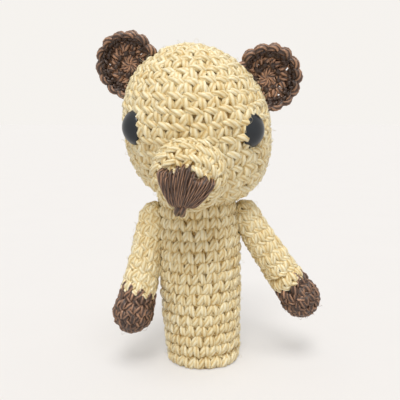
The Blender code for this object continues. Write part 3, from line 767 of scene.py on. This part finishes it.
def clear_of_body(margin):
    """Moves points outwards so that they stay outside the body's wall, less a margin."""
    outline = body_outline()
    heights = outline.points[::-1, 1]
    radii = outline.points[::-1, 0]

    def push(paths):
        height = paths[..., 2] - PUPPET.z
        middle = lean(np.stack([0 * height, 0 * height, height], -1))
        away = (paths - middle) * np.array([1.0, 1.0, 0.0])
        radius = np.linalg.norm(away, axis=-1)
        wanted = np.interp(height, heights, radii, right=0.0) - margin
        grow = np.maximum(wanted / radius, 1.0)[..., None]
        return paths + away * (grow - 1)

    return push


# Materials


def new_material(name):
    material = bpy.data.materials.new(name)
    material.use_nodes = True
    tree = material.node_tree
    return material, tree, tree.nodes["Principled BSDF"]


def link(tree, source, target):
    tree.links.new(source, target)


def ramp(tree, source, stops):
    node = tree.nodes.new("ShaderNodeValToRGB")
    elements = node.color_ramp.elements
    while len(elements) < len(stops):
        elements.new(0.5)
    for element, (place, colour) in zip(elements, stops):
        element.position = place
        element.color = (*colour, 1.0)
    link(tree, source, node.inputs["Fac"])
    return node.outputs["Color"]


def noise(tree, vector, scale, detail):
    node = tree.nodes.new("ShaderNodeTexNoise")
    node.inputs["Scale"].default_value = scale
    node.inputs["Detail"].default_value = detail
    link(tree, vector, node.inputs["Vector"])
    return node.outputs["Fac"]


def maths(tree, operation, first, second, third=None):
    node = tree.nodes.new("ShaderNodeMath")
    node.operation = operation
    for socket, value in zip(node.inputs, (first, second, third)):
        if isinstance(value, (int, float)):
            socket.default_value = value
        elif value is not None:
            link(tree, value, socket)
    return node.outputs["Value"]


def yarn_material(name, yarn):
    """Plied yarn: painted shade between the plies, each strand a little its own tone, fibres along it
    with their own tone and painted glints.
    """
    material, tree, shader = new_material(name)
    tone_and_painted_shade = tree.nodes.new("ShaderNodeAttribute")
    tone_and_painted_shade.attribute_name = "tone_and_painted_shade"
    coordinates = tree.nodes.new("ShaderNodeTexCoord")
    uv = coordinates.outputs["UV"]
    split = tree.nodes.new("ShaderNodeSeparateXYZ")
    link(tree, uv, split.inputs["Vector"])
    turn = maths(tree, "MULTIPLY", split.outputs["X"], PLIES * math.pi)
    crest = maths(tree, "ABSOLUTE", maths(tree, "COSINE", turn, 0.0), 0.0)
    mapping = tree.nodes.new("ShaderNodeMapping")
    mapping.inputs["Scale"].default_value = FILAMENT_SCALE
    link(tree, uv, mapping.inputs["Vector"])
    filaments_and_painted_glints = noise(tree, mapping.outputs["Vector"], 1.0, 2.0)
    patches = noise(tree, coordinates.outputs["Object"], PATCH_SCALE, 2.0)
    # Painted shade darkens the grooves between the plies, and the fibre noise adds its tone and
    # painted glints
    shade = maths(tree, "MULTIPLY_ADD", crest, PLY_GROOVE_PAINTED_SHADE, BASE_SHADE)
    shade = maths(tree, "MULTIPLY_ADD", filaments_and_painted_glints, FILAMENT_TONE_AND_PAINTED_GLINT, shade)
    shade = maths(tree, "MULTIPLY_ADD", patches, PATCH_SHADE, shade)
    shade = maths(tree, "MULTIPLY_ADD", tone_and_painted_shade.outputs["Fac"], TINT_SHADE, shade)
    colour = ramp(tree, shade, [*zip(YARN_STOPS, (yarn.dark, yarn.middle, yarn.light))])
    link(tree, colour, shader.inputs["Base Color"])
    shader.inputs["Roughness"].default_value = yarn.roughness
    shader.inputs["Sheen Weight"].default_value = yarn.sheen
    shader.inputs["Sheen Roughness"].default_value = 0.4
    shader.inputs["Sheen Tint"].default_value = (*yarn.light, 1.0)
    bump = tree.nodes.new("ShaderNodeBump")
    bump.inputs["Strength"].default_value = 0.6
    bump.inputs["Distance"].default_value = 0.16 * MM
    relief = maths(tree, "MULTIPLY_ADD", crest, 1.2, filaments_and_painted_glints)
    link(tree, relief, bump.inputs["Height"])
    link(tree, bump.outputs["Normal"], shader.inputs["Normal"])
    return material


def plastic_material(name, colour, roughness, grain):
    """Moulded plastic with a faint unevenness."""
    material, tree, shader = new_material(name)
    coordinates = tree.nodes.new("ShaderNodeTexCoord")
    uneven = noise(tree, coordinates.outputs["Object"], PLASTIC_SCALE, 2.0)
    lighter = tuple(min(1.0, c * 1.3) for c in colour)
    link(tree, ramp(tree, uneven, [(0.3, colour), (0.7, lighter)]), shader.inputs["Base Color"])
    shader.inputs["Roughness"].default_value = roughness
    bump = tree.nodes.new("ShaderNodeBump")
    bump.inputs["Strength"].default_value = grain
    bump.inputs["Distance"].default_value = 0.02 * MM
    link(tree, uneven, bump.inputs["Height"])
    link(tree, bump.outputs["Normal"], shader.inputs["Normal"])
    return material


def fibre_material():
    """Loose white filling."""
    material, tree, shader = new_material("fibre_filling")
    coordinates = tree.nodes.new("ShaderNodeTexCoord")
    tangle = noise(tree, coordinates.outputs["Object"], FILLING_SCALE, 6.0)
    white = ramp(tree, tangle, [(0.3, FILLING_GREY), (0.7, FILLING_WHITE)])
    link(tree, white, shader.inputs["Base Color"])
    shader.inputs["Roughness"].default_value = 0.95
    bump = tree.nodes.new("ShaderNodeBump")
    bump.inputs["Strength"].default_value = 0.8
    bump.inputs["Distance"].default_value = 0.4 * MM
    link(tree, tangle, bump.inputs["Height"])
    link(tree, bump.outputs["Normal"], shader.inputs["Normal"])
    return material


# Nose, mouth and eyes


def muzzle_point(skin, across, up, lift):
    distance = np.hypot(across, up)
    return skin.point(np.arctan2(up, across), distance, lift)


def embroidered(name, skin, starts, stops, radii, lifts, material, seed):
    """Satin strands on the muzzle from each start to its stop, both (across, up) pairs."""
    rng = np.random.default_rng(seed)
    t = np.linspace(0, 1, SATIN_STEPS + 1)[None, :]
    starts, stops = np.array(starts), np.array(stops)
    across = starts[:, :1] + (stops[:, :1] - starts[:, :1]) * t**NOSE_SIDE_BULGE
    up = starts[:, 1:] + (stops[:, 1:] - starts[:, 1:]) * t
    ends = np.clip(np.minimum(t, 1 - t) / SATIN_END, 0, 1) ** 0.5
    lift = np.array(lifts)[:, None] * ends - SATIN_SINK * (1 - ends)
    paths = muzzle_point(skin, across, up, lift)
    normal = unit(muzzle_point(skin, across, up, lift + PROBE) - paths)
    narrow, wide = radii
    size = (narrow + (wide - narrow) * t) * rng.normal(1, SATIN_JITTER, (len(starts), 1))
    builder = Builder()
    builder.tubes(paths, normal, size, rng, twist=SATIN_TWIST)
    return builder.finish(name, material)


def nose_strands():
    """A fan of strands in layers, from the narrow apex up to the notched top."""
    rng = np.random.default_rng(NOSE_SEED)
    starts, stops, lifts = [], [], []
    for layer in range(NOSE_LAYERS):
        count = NOSE_STRANDS - layer
        for share in np.linspace(-1, 1, count) * (1 - NOSE_LAYER_INSET * layer):
            across = NOSE_APEX_ACROSS + share * NOSE_HALF_WIDTH * NOSE_APEX_SHARE
            starts.append((across, NOSE_APEX))
            top = NOSE_TOP - NOSE_CORNER_DROP * share**2 + NOSE_TILT * share
            top -= NOSE_NOTCH * math.sin(NOSE_NOTCH_TURN * share) ** 2
            top += rng.uniform(*NOSE_RAGGED)
            stops.append((share * (NOSE_HALF_WIDTH - NOSE_EDGE), top))
            lifts.append(NOSE_LIFT + NOSE_LAYER_LIFT * layer)
    return starts, stops, lifts


def turned_piece(name, matrix, points, segments, material):
    """A lathe-turned piece from an outline in its own frame."""
    bend = matrix_bend(matrix)
    points = np.array(points)
    theta = np.linspace(0, math.tau, segments, endpoint=False)[None, :]
    radius = np.maximum(points[:, :1], POLE_RADIUS)
    ring = np.stack([radius * np.cos(theta), radius * np.sin(theta), points[:, 1:] + 0 * theta], -1)
    builder = Builder()
    builder.grid(bend(ring)[::-1], PLAIN_UV, PLAIN_TINT)
    return builder.finish(name, material)


def eye_points():
    """The front is a cap of a ball, which meets the flange at an edge."""
    ball = (EYE_RADIUS**2 + EYE_DOME**2) / (2 * EYE_DOME)
    t = np.linspace(0, math.asin(EYE_RADIUS / ball), EYE_DOME_POINTS)
    dome = np.stack([ball * np.sin(t), EYE_FLANGE + EYE_DOME - ball * (1 - np.cos(t))], 1)
    return [
        *dome,
        (EYE_RADIUS, EYE_EDGE),
        (EYE_RADIUS - EYE_EDGE, 0.0),
        (SHANK_RADIUS, 0.0),
        (SHANK_RADIUS, -SHANK_LENGTH),
        (0.0, -SHANK_LENGTH),
    ]


# Surroundings


def add_camera():
    camera = bpy.data.cameras.new("camera")
    camera.sensor_width = SENSOR_WIDTH
    camera.lens = FOCAL_PIXELS / PICTURE_SIDE * SENSOR_WIDTH
    camera.clip_start = CLIP_START
    made = bpy.data.objects.new("camera", camera)
    bpy.context.scene.collection.objects.link(made)
    made.location = PUPPET + Vector((CAMERA_ACROSS, -CAMERA_DISTANCE, CAMERA_HEIGHT))
    made.rotation_euler = (math.pi / 2 - CAMERA_PITCH, 0.0, 0.0)
    bpy.context.scene.camera = made


def add_sun(sun):
    lamp = bpy.data.lights.new(sun.name, "SUN")
    lamp.angle = sun.softness
    lamp.energy = sun.strength
    lamp.color = SUN_COLOUR
    made = bpy.data.objects.new(sun.name, lamp)
    bpy.context.scene.collection.objects.link(made)
    made.location = Vector(sun.direction)
    made.rotation_euler = (-made.location).to_track_quat("-Z", "Y").to_euler()


def seen_directly(tree):
    """1 for what the camera, a reflection or a view through glass sees, and otherwise 0."""
    rays = tree.nodes.new("ShaderNodeLightPath").outputs
    seen = maths(tree, "MAXIMUM", rays["Is Camera Ray"], rays["Is Glossy Ray"])
    return maths(tree, "MAXIMUM", seen, rays["Is Transmission Ray"])


def add_world():
    """Soft light all round. The camera and reflections see the pale backdrop instead."""
    world = bpy.data.worlds.new("studio")
    bpy.context.scene.world = world
    world.use_nodes = True
    tree = world.node_tree
    around = tree.nodes["Background"]
    around.inputs["Color"].default_value = (*WORLD_COLOUR, 1.0)
    direction = tree.nodes.new("ShaderNodeTexCoord").outputs["Generated"]
    split = tree.nodes.new("ShaderNodeSeparateXYZ")
    link(tree, direction, split.inputs["Vector"])
    upness = maths(tree, "MAXIMUM", split.outputs["Z"], 0.0)
    strength = maths(tree, "MULTIPLY_ADD", upness, WORLD_HIGH - WORLD_LOW, WORLD_LOW)
    link(tree, strength, around.inputs["Strength"])
    backdrop = tree.nodes.new("ShaderNodeBackground")
    backdrop.inputs["Color"].default_value = (*BACKDROP, 1.0)
    mix = tree.nodes.new("ShaderNodeMixShader")
    link(tree, seen_directly(tree), mix.inputs[0])
    link(tree, around.outputs["Background"], mix.inputs[1])
    link(tree, backdrop.outputs["Background"], mix.inputs[2])
    link(tree, mix.outputs["Shader"], tree.nodes["World Output"].inputs["Surface"])


def add_floor():
    """Wide pale paper, seen partly in the backdrop's colour so that the horizon hardly shows."""
    material, tree, shader = new_material("pale_paper")
    coordinates = tree.nodes.new("ShaderNodeTexCoord")
    mottle = noise(tree, coordinates.outputs["Object"], 30.0, 3.0)
    pale = ramp(tree, mottle, [(0.2, FLOOR_DARKER), (0.8, FLOOR_LIGHTER)])
    link(tree, pale, shader.inputs["Base Color"])
    shader.inputs["Roughness"].default_value = 0.9
    shader.inputs["Specular IOR Level"].default_value = 0.2
    glow = tree.nodes.new("ShaderNodeEmission")
    glow.inputs["Color"].default_value = (*BACKDROP, 1.0)
    share = maths(tree, "MULTIPLY", seen_directly(tree), FLOOR_SEEN_SHARE)
    mix = tree.nodes.new("ShaderNodeMixShader")
    link(tree, share, mix.inputs[0])
    link(tree, shader.outputs["BSDF"], mix.inputs[1])
    link(tree, glow.outputs["Emission"], mix.inputs[2])
    link(tree, mix.outputs["Shader"], tree.nodes["Material Output"].inputs["Surface"])
    mesh = bpy.data.meshes.new("floor")
    signs = ((-1, -1), (1, -1), (1, 1), (-1, 1))
    corners = [(x * FLOOR_HALF, y * FLOOR_HALF, 0.0) for x, y in signs]
    mesh.from_pydata(corners, [], [(0, 1, 2, 3)])
    mesh.materials.append(material)
    floor = bpy.data.objects.new("floor", mesh)
    bpy.context.scene.collection.objects.link(floor)


# Assembly


def dress(piece, node):
    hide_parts(node)
    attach(piece, "root")


def dress_body(cream):
    skin = Skin(body_outline(), lean)
    piece = crochet("body_crochet", skin, BODY_GAUGE, cream, 1, rimmed=True)
    dress(piece, "body")


def bulged(points):
    """Slants the head, and swells its cloth beside each eye, where the washer pulls it in."""
    azimuth = np.arctan2(points[..., 0], -points[..., 1])
    swell = np.ones(azimuth.shape)
    for bulge in BULGES:
        across = (azimuth - bulge.azimuth) / BULGE_SPREAD
        up = (points[..., 2] - EYE_HEIGHT - bulge.height) / BULGE_REACH
        swell += bulge.size * np.exp(-(across**2) - up**2)
    wide = np.stack([points[..., 0] * swell, points[..., 1] * swell, points[..., 2]], -1)
    return slanted(wide)


def dress_head(cream):
    onto_neck = matrix_bend(HEAD)
    skin = Skin(head_outline(), lambda points: onto_neck(bulged(points)))
    piece = crochet("head_crochet", skin, HEAD_GAUGE, cream, 2)
    dress(piece, "head")


def dress_muzzle(cream, brown):
    skin = Skin(muzzle_outline(), matrix_bend(muzzle_matrix()))
    keep = outside_head(HEAD_MARGIN)
    piece = crochet("muzzle_crochet", skin, MUZZLE_GAUGE, cream, 3, keep=keep)
    dress(piece, "muzzle")
    starts, stops, lifts = nose_strands()
    nose = embroidered(
        "nose_embroidery", skin, starts, stops, NOSE_YARN_RADII, lifts, brown, 4
    )
    dress(nose, "nose")
    starts = [(NOSE_APEX_ACROSS + side, NOSE_APEX + MOUTH_OVERLAP) for side in MOUTH_SIDES]
    below = (NOSE_APEX_ACROSS + MOUTH_LEAN, NOSE_APEX - MOUTH_LENGTH)
    stops = [(below[0] + side, below[1]) for side in MOUTH_SIDES]
    lifts = [MOUTH_LIFT] * len(MOUTH_SIDES)
    mouth = embroidered(
        "mouth_strands", skin, starts, stops, MOUTH_YARN_RADII, lifts, brown, 5
    )
    dress(mouth, "mouth_stitch")


def dress_ear(ear, name, brown, seed):
    skin = Skin(ear_outline(), matrix_bend(ear_matrix(ear)))
    rng = np.random.default_rng(seed)
    builder = Builder()
    layout = stitch_layout(skin.outline, EAR_GAUGE, rng, True, False)
    keep = outside_head(HEAD_MARGIN)
    last = rounds_of(skin.outline, EAR_GAUGE)[-1][2]
    inner = layout[:-last]
    rim = layout[-last:].copy()
    rim[:, 2] = skin.outline.length
    rim[:, 3] = EAR_GAUGE.row
    parts = stitch(EAR_GAUGE)
    sides = [(layout, part, False, EAR_OUTER_TINTS) for part in parts]
    sides += [(inner, part, True, EAR_INNER_TINTS) for part in parts]
    chains = [(chain, CHAIN_STEPS) for chain in (FRONT_CHAIN, BACK_CHAIN)]
    sides += [(rim, chain, False, EAR_RIM_TINTS) for chain in chains]
    for stitches, (template, steps), inwards, tints in sides:
        strands = strands_on(skin, stitches, template, steps, EAR_GAUGE, rng, inwards)
        chosen = keep(strands[0])
        paths, up, radii, painted_depth_shade = (part[chosen] for part in strands)
        builder.tubes(paths, up, radii, rng, painted_depth_shade, EAR_FLATNESS, tints=tints)
    dress(builder.finish(f"{name}_ear_crochet", brown), f"{name}_ear")


def dress_eye(side, name, black):
    piece = turned_piece(f"{name}_eye_dome", eye_matrix(side), eye_points(), EYE_SEGMENTS, black)
    dress(piece, f"{name}_eye")


def dress_arm(arm, name, cream, brown, seed):
    bend = arm_bend(arm)
    push = clear_of_body(BODY_MARGIN)
    skin = Skin(arm_outline(arm), bend)
    sleeve = crochet(f"{name}_arm_crochet", skin, ARM_GAUGE, cream, seed, upwards=False, push=push)
    dress(sleeve, f"{name}_arm")
    skin = Skin(paw_outline(arm), bend)
    paw = crochet(
        f"{name}_paw_crochet", skin, ARM_GAUGE, brown, seed + 1, upwards=False, spiked=True
    )
    dress(paw, f"{name}_paw")


def main():
    cream = yarn_material("cream_yarn_strands", CREAM)
    brown = yarn_material("brown_yarn_strands", BROWN)
    black = plastic_material("eye_plastic", EYE_BLACK, roughness=0.30, grain=0.1)
    white = plastic_material("washer_plastic", WASHER_WHITE, roughness=0.45, grain=0.4)
    fibre = fibre_material()
    dress_body(cream)
    dress_head(cream)
    dress_muzzle(cream, brown)
    for ear, arm, name, seed in (
        (LEFT_EAR, LEFT_ARM, "left", 30),
        (RIGHT_EAR, RIGHT_ARM, "right", 40),
    ):
        dress_ear(ear, name, brown, seed)
        dress_eye(ear.side, name, black)
        dress_arm(arm, name, cream, brown, seed + 5)
    for node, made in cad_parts.items():
        finish = fibre if "stuffing" in node else white if "washer" in node else None
        if finish:
            made.data.materials.clear()
            made.data.materials.append(finish)
    add_floor()
    add_world()
    for sun in SUNS:
        add_sun(sun)
    add_camera()
    bpy.context.scene.view_settings.view_transform = "Standard"


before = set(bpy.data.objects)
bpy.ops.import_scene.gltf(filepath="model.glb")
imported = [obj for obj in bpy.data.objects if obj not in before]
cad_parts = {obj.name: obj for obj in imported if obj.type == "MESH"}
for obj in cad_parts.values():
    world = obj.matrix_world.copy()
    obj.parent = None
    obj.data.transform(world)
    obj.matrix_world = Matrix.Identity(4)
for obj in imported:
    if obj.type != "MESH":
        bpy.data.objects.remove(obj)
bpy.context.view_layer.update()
PUPPET = puppet_place()
HEAD = head_matrix()
main()
